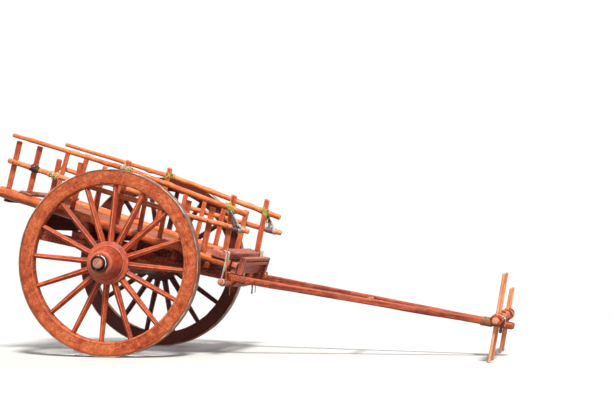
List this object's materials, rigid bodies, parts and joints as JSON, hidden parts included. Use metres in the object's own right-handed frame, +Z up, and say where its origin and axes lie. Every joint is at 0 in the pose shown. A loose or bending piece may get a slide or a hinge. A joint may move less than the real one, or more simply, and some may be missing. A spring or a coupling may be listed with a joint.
{
  "type": "two-wheeled bullock cart",
  "caption": "Wooden two-wheeled ox cart with spoked wheels, stake-sided bed on two converging draught poles and a pinned neck yoke, parked nose down.",
  "frame": {"origin": "on the ground at the centre of the bounding box's bottom face, with the cart parked nose down on its wheels and the pins of its yoke", "axes": "+X forward, towards the yoke; +Y to the cart's left; +Z up"},
  "size_m": [3.905, 1.852, 1.6903],
  "materials": {
    "wheel_wood": "red-brown oiled and dusty hardwood",
    "hub_wood": "red-brown turned hardwood, greasy",
    "round_wood": "peeled round pole, orange, worn",
    "stake_wood": "hewn, orange-brown",
    "plank_wood": "sawn plank, weathered pinkish brown",
    "block_wood": "hewn, brown, weathered",
    "branch_wood": "natural branch, bark rubbed off",
    "frame_wood": "hewn hardwood, dark red-brown",
    "iron_tyre": "wrought iron hoop, rolled bright at the edge and dusty",
    "iron_worn": "iron, worn bright at the end"
  },
  "bodies": {
    "cart": {"axle": "frame_wood", "linchpin_left": "iron_worn", "linchpin_right": "iron_worn", "draught_pole_left": "frame_wood", "draught_pole_right": "frame_wood", "pole_pegs": "branch_wood", "pole_spreader": "branch_wood", "nose_block": "frame_wood", "king_peg": "branch_wood", "bolster": "frame_wood", "cross_beams": "frame_wood", "tail_beam": "frame_wood", "side_rail_left": "round_wood", "side_rail_right": "round_wood", "floor_boards": "plank_wood", "stakes_left": "stake_wood", "stakes_right": "stake_wood", "rear_plank": "plank_wood", "front_sill": "block_wood", "front_bearer": "block_wood", "foot_posts": "block_wood", "foot_planks": "plank_wood", "front_log": "branch_wood", "mid_rail_left": "round_wood", "mid_rail_right": "round_wood", "top_rail_rear_left": "round_wood", "top_rail_rear_right": "round_wood", "top_rail_front_left": "round_wood", "top_rail_front_right": "round_wood"},
    "wheel_left": {"tyre_left": "iron_tyre", "felloes_left": "wheel_wood", "spokes_left": "wheel_wood", "hub_left": "hub_wood", "hub_box_left": "iron_worn"},
    "wheel_right": {"tyre_right": "iron_tyre", "felloes_right": "wheel_wood", "spokes_right": "wheel_wood", "hub_right": "hub_wood", "hub_box_right": "iron_worn"},
    "yoke": {"yoke_beam": "frame_wood", "yoke_pins_left": "round_wood", "yoke_pins_right": "round_wood"}
  },
  "joints": [
    {"name": "wheel_left_spin", "type": "hinge", "parent": "cart", "child": "wheel_left", "pos_m": [-1.00182, 0.669, 0.7], "axis": [0, 1, 0], "continuous": true},
    {"name": "wheel_right_spin", "type": "hinge", "parent": "cart", "child": "wheel_right", "pos_m": [-1.00182, -0.669, 0.7], "axis": [0, 1, 0], "continuous": true},
    {"name": "yoke_swivel", "type": "hinge", "parent": "cart", "child": "yoke", "pos_m": [1.86407, 0, 0.29695], "axis": [0.171, 0, 0.9853], "range_deg": [-20, 20]}
  ]
}
